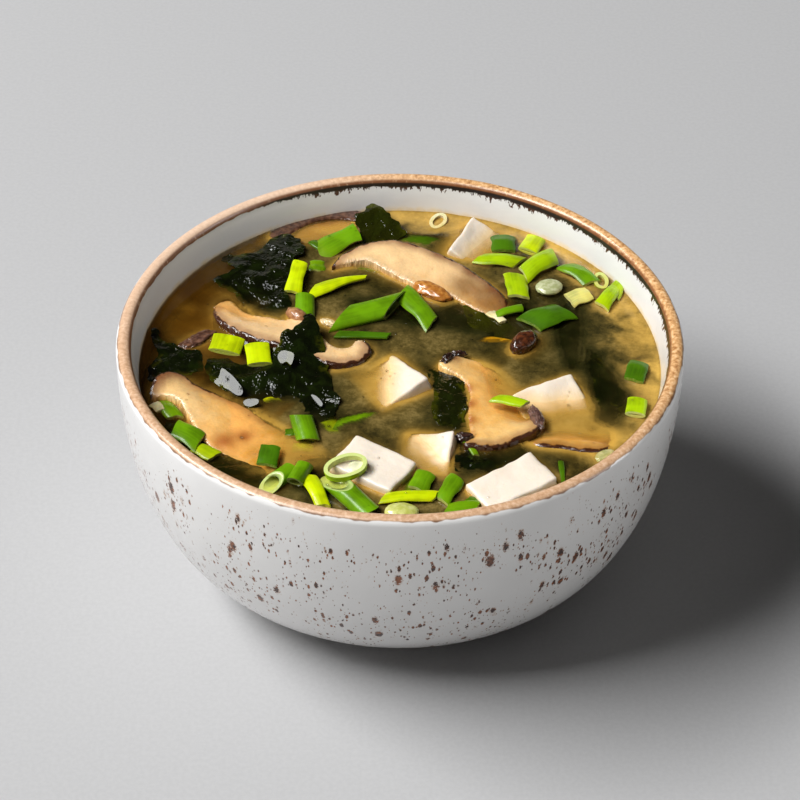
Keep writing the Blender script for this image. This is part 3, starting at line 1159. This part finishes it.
# Leaves: tone, length, width, heading, lean and bearing, slant of the cut ends,
# taper, how far the middle bows up, and how far round the leaf curls.
LEAF_CUTS = {
    "back_strip": ("green", 13.0, 7.6, 32, (11, 218), 10, 0.0, 0.3, 30),
    "upright": ("yellow", 12.4, 4.4, 82, (7, -97), 15, 0.0, 0.4, 30),
    "yellow_leaf": ("yellow", 16.5, 6.4, 24, (1, 200), 42, 0.8, 0.8, 50),
    "middle_strip": ("green", 16.0, 6.2, -60, (1, -60), -35, 0.0, 0.8, 60),
    "thin_dark": ("dark", 14.0, 3.2, -3, (1, -90), 30, 0.3, 0.2, 30),
    "front_left": ("green", 8.6, 7.0, -37, (2, -40), -20, 0.0, 0.5, 40),
    "dark_square": ("dark", 7.2, 5.2, 84, (2, -90), 5, 0.0, 0.3, 30),
    "yellow_curl": ("yellow", 12.2, 4.6, -70, (1, -70), 20, 0.2, 0.9, 60),
    "yellow_strip": ("yellow", 13.4, 3.8, 4, (1, -90), 30, 0.1, 0.8, 60),
    "front_square": ("green", 6.8, 5.2, 70, (2, -90), 10, 0.0, 0.3, 40),
    "front_leaf": ("green", 9.6, 4.6, 66, (2, -110), 20, 0.0, 0.5, 60),
    "front_end": ("green", 8.0, 4.6, 10, (1, -90), 30, 0.0, 0.4, 50),
    "on_shiitake": ("light", 8.2, 4.0, -22, (4, 170), 30, 0.3, 0.6, 60),
    "right_square": ("dark", 8.0, 5.4, 76, (1, -160), 10, 0.0, 0.3, 30),
    "back_square": ("dark", 6.8, 6.8, 90, (1, -90), 0, 0.0, 0.4, 40),
    "back_long": ("light", 11.6, 5.0, -8, (1, -90), 35, 0.0, 0.6, 60),
    "back_fold": ("light", 12.4, 7.0, 44, (3, -70), 25, 0.0, 1.2, 90),
    "back_light": ("light", 9.8, 6.0, -84, (1, -90), 15, 0.0, 0.4, 50),
    "back_pale": ("pale", 6.6, 6.2, 32, (1, -60), 5, 0.0, 0.3, 30),
    "back_green": ("green", 10.2, 5.8, -48, (1, -60), 20, 0.0, 0.8, 60),
    "back_wedge": ("light", 9.2, 5.2, 62, (1, 240), 20, 0.3, 0.5, 50),
    "dark_strip": ("green", 8.0, 3.0, 24, (1, -90), 20, 0.0, 0.5, 60),
    "dark_leaf": ("dark", 11.6, 8.6, 32, (1, -90), -20, 0.0, 0.9, 50),
}
# Flattened or round tubes: tone, length, width, height, heading, lean, how far the
# ends are cut aslant sideways, and how far each end's cut leans back, so that it faces up.
TUBE_CUTS = {
    "pair_left": ("yellow", 6.2, 8.8, 1.7, 78, (5, -60), 0, 0, 0),
    "pair_right": ("yellow", 7.8, 6.6, 1.7, -82, (5, -75), 0, 0, 0),
    "right_yellow": ("light", 6.2, 5.4, 2.0, 82, (1, -170), 5, 0, 0),
    "back_yellow": ("yellow", 6.6, 6.0, 2.0, 66, (1, -110), 5, 0, 0),
    "big_tube": ("green", 16.5, 8.4, 4.0, 20, (3, 200), 48, 20, 0),
    "short_tube": ("green", 8.4, 5.4, 3.8, -88, (8, -90), 8, 0, 0),
    "pale_tube": ("green", 9.6, 6.0, 4.2, -76, (8, -80), 12, 40, -30),
    "front_tube": ("green", 10.6, 5.0, 3.4, 52, (5, 20), 0, 66, -20),
    "front_roll": ("green", 7.6, 4.4, 4.0, 72, (5, 70), 0, -30, 25),
    "long_tube": ("green", 15.6, 6.4, 4.4, -50, (5, -45), 0, 68, -45),
}
# Rings on their cut edge: tone, tallness, length and width, heading, lean.
RING_CUTS = {
    "ring_on_tofu": ("light", 1.7, (11.4, 7.4), 20, (12, -110)),
}
# Small leaf scraps: tone, length, width, heading, slant, taper, bow, curl, middle.
SMALL_LEAVES = {
    "square": ("green", 4.6, 4.4, 90, 0, 0.0, 0.2, 40, (-23.3, 42.6, 0.2)),
    "dark_bit": ("dark", 7.8, 3.0, -50, 10, 0.2, 0.2, 60, (-22.7, 51.6, 0.1)),
    "sunk_by_slice": ("green", 8.8, 3.6, -15, 30, 0.3, 0.3, 50, (-9.5, 41.9, -1.0)),
    "sunk_back": ("dark", 13.5, 7.6, -15, 30, 0.2, 0.4, 40, (3.5, 56.6, -0.9)),
    "wedge_top": ("light", 7.6, 4.8, 65, 30, 0.5, 0.4, 40, (59.4, 33.2, 0.9)),
    "left_edge": ("green", 7.4, 4.2, -60, 20, 0.0, 0.4, 50, (-60.0, -20.6, 0.1)),
    "left_pale": ("white", 3.6, 2.8, -50, 10, 0.0, 0.2, 40, (-63.0, -20.0, 0.4)),
    "front_left_bit": ("light", 5.8, 4.4, -35, 15, 0.0, 0.3, 40, (-49.3, -37.7, 0.2)),
    "under_tube": ("dark", 4.6, 2.8, 0, 0, 0.0, 0.2, 40, (-27.1, -29.4, 0.0)),
    "sunk_front": ("light", 10.0, 6.4, -70, 20, 0.2, 0.4, 50, (-18.6, -25.6, -1.2)),
    "sunk_leaf": ("green", 11.5, 5.4, 20, 40, 0.3, 0.6, 60, (-11.2, -23.6, -0.8)),
    "on_olive": ("white", 5.6, 3.0, -50, 10, 0.3, 0.3, 40, (26.0, 20.3, 0.5)),
    "amber_tip": ("amber", 9.0, 3.2, -10, 40, 0.4, 0.3, 40, (25.8, 10.8, -0.5)),
    "thin_front_right": ("dark", 8.6, 1.6, -88, 10, 0.5, 0.3, 60, (41.4, -44.0, 0.1)),
    "sunk_front_low": ("green", 7.4, 6.0, 65, 20, 0.0, 0.4, 40, (3.8, -50.0, -1.1)),
    "front_pale": ("pale", 5.6, 3.2, -85, 10, 0.2, 0.3, 40, (-1.6, -57.4, -0.5)),
    "by_curl": ("green", 7.0, 2.2, -63, 20, 0.3, 0.5, 70, (18.0, -34.2, 0.0)),
    "under_tofu": ("dark", 8.0, 2.8, -15, 20, 0.3, 0.3, 40, (21.0, -56.0, 0.2)),
    "sunk_yellow": ("yellow", 5.6, 3.4, 0, 10, 0.0, 0.3, 50, (-24.6, -33.6, -1.3)),
    "on_seaweed": ("yellow", 8.4, 3.2, 5, 20, 0.3, 0.3, 50, (-33.0, -15.4, -1.0)),
    "in_ring": ("white", 4.6, 4.0, 14, 10, 0.0, 0.5, 60, (-10.4, -46.0, 2.9)),
}
# Small rings: tone, tallness, length and width, heading, lean, middle.
SMALL_RINGS = {
    "by_wall": ("light", 1.4, (6.0, 4.2), 100, (12, -90), (55.2, 36.6, 0.4)),
    "onion_curl": ("white", 1.4, (6.4, 4.6), 60, (10, -90), (10.4, 64.4, 0.1)),
}
LEAF_THICKNESS = 0.9
LEAF_DROP = 0.7  # how much lower a leaf lies than its plain solid
TUBE_WALL = 0.75
TUBE_DROP = 0.5
RING_DROP = 0.9
LEAF_LENGTHWISE = 26
LEAF_ACROSS = 14
TUBE_AROUND = 40


def swept(name, rings, along, across, materials, ends, inside_from):
    """A closed piece from rings of points, with cut faces of their own material at the ends.

    Ring points from inside_from on are the inner skin. ends tells how to close the
    ends: "cap" for a solid section, "wall" for a hollow one.
    """
    count = len(rings[0])
    points = [p for ring in rings for p in ring]
    faces, slots = [], []
    for i in range(len(rings) - 1):
        a, b = i * count, (i + 1) * count
        for k in range(count):
            if ends == "wall" and k in (inside_from - 1, count - 1):
                continue
            j = (k + 1) % count
            faces.append((a + k, b + k, b + j, a + j))
            slots.append(1 if k >= inside_from else 0)
    last = (len(rings) - 1) * count
    for base, order in ((0, 1), (last, -1)):
        for k in range(inside_from):
            if ends == "cap" and k == inside_from - 1:
                continue
            outer = (base + k, base + (k + 1) % inside_from)
            inner_k = [inside_from + (inside_from - 1 - m) % inside_from for m in (k, k + 1)]
            if ends == "wall":
                inner_k = [inside_from + k, inside_from + (k + 1) % inside_from]
            face = (outer[0], outer[1], base + inner_k[1], base + inner_k[0])
            faces.append(face[::order])
            slots.append(2)
    if ends == "wall":
        for i in range(len(rings) - 1):
            a, b = i * count, (i + 1) * count
            for start, slot in ((0, 0), (inside_from, 1)):
                k, j = start + inside_from - 1, start
                face = (a + k, b + k, b + j, a + j)
                faces.append(face)
                slots.append(slot)
    values = {"along": np.repeat(along, count), "across": np.tile(across, len(rings))}
    piece = mesh_piece(name, points, faces, materials, values, slots, sharp=55)
    bm = bmesh.new()
    bm.from_mesh(piece.data)
    bmesh.ops.recalc_face_normals(bm, faces=bm.faces)
    bm.to_mesh(piece.data)
    bm.free()
    return piece


def leaf_rings(length, width, slant, taper, bow, curl, seed):
    """Cross-sections of a curled strip: the outer skin's points, then the inner's back."""
    rings, along = [], []
    shear = math.tan(math.radians(slant))
    arc = math.radians(max(curl, 1))
    places = np.linspace(-1, 1, LEAF_ACROSS)
    for i in range(LEAF_LENGTHWISE):
        share = i / (LEAF_LENGTHWISE - 1)
        wide = width * (1 - taper * share)
        radius = wide / arc
        turn_here = arc * (1 + 0.25 * noise.noise(Vector((share * 2, seed, 0))))
        rise = bow * (1 - (2 * share - 1) ** 2) + 0.25 * noise.noise(Vector((share * 2.5, 0, seed)))
        ring = []
        for side in (0.5, -0.5):
            for u in places if side > 0 else places[::-1]:
                angle = u * turn_here / 2
                thick = LEAF_THICKNESS * (0.55 + 0.45 * math.sqrt(max(0.0, 1 - u**6)))
                reach = radius + side * thick
                y = reach * math.sin(angle)
                z = reach * math.cos(angle) - radius + rise
                x = length * (share - 0.5) + y * shear
                x += 0.35 * noise.noise(Vector((u * 1.5, seed, 5 * round(share))))
                ring.append(Vector((x, y, z)))
        rings.append(ring)
        along.append(length * share)
    across = [u * width / 2 for u in places] + [u * width / 2 for u in places[::-1]]
    return rings, np.array(along), np.array(across)


def tube_rings(length, width, height, cuts, wall, seed, stations):
    """Cross-sections of a tube: the outer skin's points, then the inner's."""
    rings = []
    shear, back_start, back_end = (math.tan(math.radians(cut)) for cut in cuts)
    angles = np.linspace(0, 2 * math.pi, TUBE_AROUND + 1)[:-1]
    for share in np.linspace(0, 1, stations):
        ring = []
        for inset in (0, wall):
            for angle in angles:
                wobble = 1 + 0.06 * noise.noise(Vector((math.cos(angle) * 1.3, math.sin(angle) * 1.3,
                                                        seed + share * 1.5)))
                y = (width / 2 - inset) * math.cos(angle) * wobble
                z = (height / 2 - inset) * math.sin(angle) * wobble
                above = z + height / 2
                x = length * (share - 0.5) + y * shear
                x += above * (back_start * (1 - share) - back_end * share)
                ring.append(Vector((x, y, z)))
        rings.append(ring)
    along = np.linspace(0, length, stations)
    across = np.tile(angles * (width + height) / 4, 2)
    return rings, along, across


def scallion_materials():
    sets = {}
    for tone in SCALLION_TONES:
        sets[tone] = [scallion(tone, "outside"), scallion(tone, "inside"), scallion_cut(tone)]
    return sets


def placed(rings, middle, heading, lean, extra=None):
    """Rings moved so that their middle lands there."""
    matrix = turn(heading, lean)
    if extra:
        matrix = matrix @ extra
    turned_rings = [[matrix @ p for p in ring] for ring in rings]
    flat = np.array([tuple(p) for ring in turned_rings for p in ring])
    shift = Vector(middle) - Vector((flat.min(0) + flat.max(0)) / 2)
    return [[p + shift for p in ring] for ring in turned_rings]


def make_scallions(materials):
    made = []
    for i, (name, (tone, length, width, heading, lean, slant, taper, bow, curl)) in enumerate(
            LEAF_CUTS.items()):
        node = "scallion_" + name
        rings, along, across = leaf_rings(length, width, slant, taper, bow, curl, i * 1.7)
        middle = middle_of(node) - Vector((0, 0, LEAF_DROP))
        rings = placed(rings, middle, heading, lean)
        made.append(swept(node + "_cut", rings, along, across, materials[tone], "cap", LEAF_ACROSS))
    for i, (name, (tone, length, width, height, heading, lean, *cuts)) in enumerate(
            TUBE_CUTS.items()):
        node = "scallion_" + name
        wall = min(TUBE_WALL, height * 0.4)
        rings, along, across = tube_rings(length, width, height, cuts, wall, i * 2.3, 20)
        middle = middle_of(node) - Vector((0, 0, TUBE_DROP))
        rings = placed(rings, middle, heading, lean)
        made.append(swept(node + "_cut", rings, along, across, materials[tone], "wall", TUBE_AROUND))
    for name, (tone, tall, size, heading, lean) in RING_CUTS.items():
        node = "scallion_" + name
        middle = middle_of(node) - Vector((0, 0, RING_DROP))
        made.append(make_ring(node + "_cut", tall, size, heading, lean, middle, materials[tone]))
    for piece in made:
        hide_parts(piece.name.removesuffix("_cut"))
    for i, (name, (tone, length, width, heading, slant, taper, bow, curl, middle)) in enumerate(
            SMALL_LEAVES.items()):
        rings, along, across = leaf_rings(length, width, slant, taper, bow, curl, i * 2.9)
        rings = placed(rings, middle, heading, (2, 40 * i))
        made.append(swept("scrap_" + name, rings, along, across, materials[tone], "cap", LEAF_ACROSS))
    for name, (tone, tall, size, heading, lean, middle) in SMALL_RINGS.items():
        made.append(make_ring("scrap_" + name, tall, size, heading, lean, middle, materials[tone]))
    return made


def make_ring(name, tall, size, heading, lean, middle, materials):
    stood_up = Euler((0, math.radians(90), 0)).to_matrix().to_4x4()
    rings, along, across = tube_rings(tall, size[1], size[0], (0, 0, 0), 1.0, size[0], 8)
    rings = placed(rings, middle, heading, lean, stood_up)
    return swept(name, rings, along, across, materials, "wall", TUBE_AROUND)


# ------------------------------------------------------- floor, lights, camera

CAMERA_DISTANCE = 750.0
CAMERA_ELEVATION = 37.82
CAMERA_PITCH = 1.359  # down from the rim's middle, so that the bowl sits as framed
CAMERA_YAW = 0.010
CAMERA_ROLL = 0.68
LENS = 127.8
KEY_AZIMUTH = 180.0
KEY_ELEVATION = 50.6


def make_floor():
    n = Nodes("backdrop_paper")
    tone = n.span(n.noise(1.2, 4), 0.3, 0.7, 0.0, 1.0)
    colour = n.mix(tone, (0.60, 0.60, 0.605), (0.63, 0.63, 0.635))
    material = n.finish(n.principled({
        "Base Color": colour, "Roughness": 0.8, "Specular IOR Level": 0.2,
        "Normal": n.bump(n.noise(0.8, 3), 0.05, 0.3),
    }))
    mesh = bpy.data.meshes.new("backdrop")
    reach = 4.0
    mesh.from_pydata([(-reach, -reach, 0), (reach, -reach, 0), (reach, reach, 0), (-reach, reach, 0)],
                     [], [(0, 1, 2, 3)])
    mesh.materials.append(material)
    floor = bpy.data.objects.new("backdrop", mesh)
    bpy.context.scene.collection.objects.link(floor)


def area_light(name, bearing, elevation, distance, size, power, colour=(1, 1, 1)):
    """A softbox aimed at the bowl, from a compass bearing and an elevation in degrees."""
    target = Vector((0, 0, BOWL_HEIGHT * MM))
    away = Matrix.Rotation(math.radians(bearing), 3, "Z") @ (
        Matrix.Rotation(-math.radians(elevation), 3, "Y") @ Vector((1, 0, 0)))
    place = target + away * distance
    light = bpy.data.lights.new(name, "AREA")
    light.shape = "RECTANGLE"
    light.size, light.size_y = size
    light.energy = power
    light.color = colour
    lamp = bpy.data.objects.new(name, light)
    lamp.location = place
    lamp.rotation_euler = (target - place).to_track_quat("-Z", "Y").to_euler()
    bpy.context.scene.collection.objects.link(lamp)
    return lamp


def make_lights(lit_pieces):
    """A wide key from the left, and fills that miss the floor and the dark seaweed."""
    area_light("key", KEY_AZIMUTH, KEY_ELEVATION, 2.6, (2.08, 0.73), 87.0)
    front = area_light("fill_front", -142, 56, 1.5, (0.8, 0.8), 12.0)
    side = area_light("fill_side", -10, 20, 1.5, (0.6, 0.6), 5.2)
    for light, pieces in ((front, lit_pieces), (side, lit_pieces[:1])):
        lit = bpy.data.collections.new("lit_by_" + light.name)
        for piece in pieces:
            lit.objects.link(piece)
        light.light_linking.receiver_collection = lit
    world = bpy.data.worlds.new("studio")
    world.use_nodes = True
    background = world.node_tree.nodes["Background"].inputs
    background["Color"].default_value = (1.0, 0.98, 0.95, 1)
    background["Strength"].default_value = 0.022
    bpy.context.scene.world = world


def make_camera():
    elevation = math.radians(CAMERA_ELEVATION)
    away = Vector((0, -math.cos(elevation), math.sin(elevation)))
    target = Vector((0, 0, BOWL_HEIGHT * MM))
    right = Vector((1, 0, 0))
    forward = -away
    up = right.cross(forward)
    facing = Matrix((right, up, -forward)).transposed()
    aim = (facing @ Matrix.Rotation(-math.radians(CAMERA_PITCH), 3, "X")
           @ Matrix.Rotation(-math.radians(CAMERA_YAW), 3, "Y")
           @ Matrix.Rotation(math.radians(CAMERA_ROLL), 3, "Z"))
    data = bpy.data.cameras.new("camera")
    data.lens = LENS
    data.sensor_width = 36.0
    camera = bpy.data.objects.new("camera", data)
    camera.matrix_world = (Matrix.Translation(target + away * CAMERA_DISTANCE * MM)
                           @ aim.to_4x4())
    bpy.context.scene.collection.objects.link(camera)
    bpy.context.scene.camera = camera


def main():
    make_camera()
    make_floor()
    bowl = make_bowl()
    core = make_core()
    toppings = []
    curd = tofu_curd()
    for node, shape in TOFU_BLOCKS.items():
        toppings.append(make_tofu(node, *shape, curd))
    flesh = mushroom()
    for node, shape in SLICES.items():
        toppings.append(make_slice(node, shape, flesh))
    toppings += make_lumps()
    seaweed = wakame()
    for node, (outline, ruffle, size, olive) in LEAVES.items():
        toppings.append(make_wakame(node, outline, ruffle, size, olive, seaweed))
    for name, (outline, ruffle) in SUNK_LEAVES.items():
        toppings.append(make_sunk_leaf(name, outline, ruffle, seaweed))
    glossy = wakame("wakame_fold", 0.03, 0.5)
    for number, (corners, height) in enumerate(WET_FOLDS):
        toppings.append(make_fold(number, corners, height, glossy))
    toppings += make_scallions(scallion_materials())
    film = make_film(toppings)
    make_bubbles(toppings)
    pale = [piece for piece in toppings if not piece.name.startswith("wakame")]
    make_lights([bowl, core, film, *pale])
    bpy.context.scene.view_settings.view_transform = "Standard"


main()
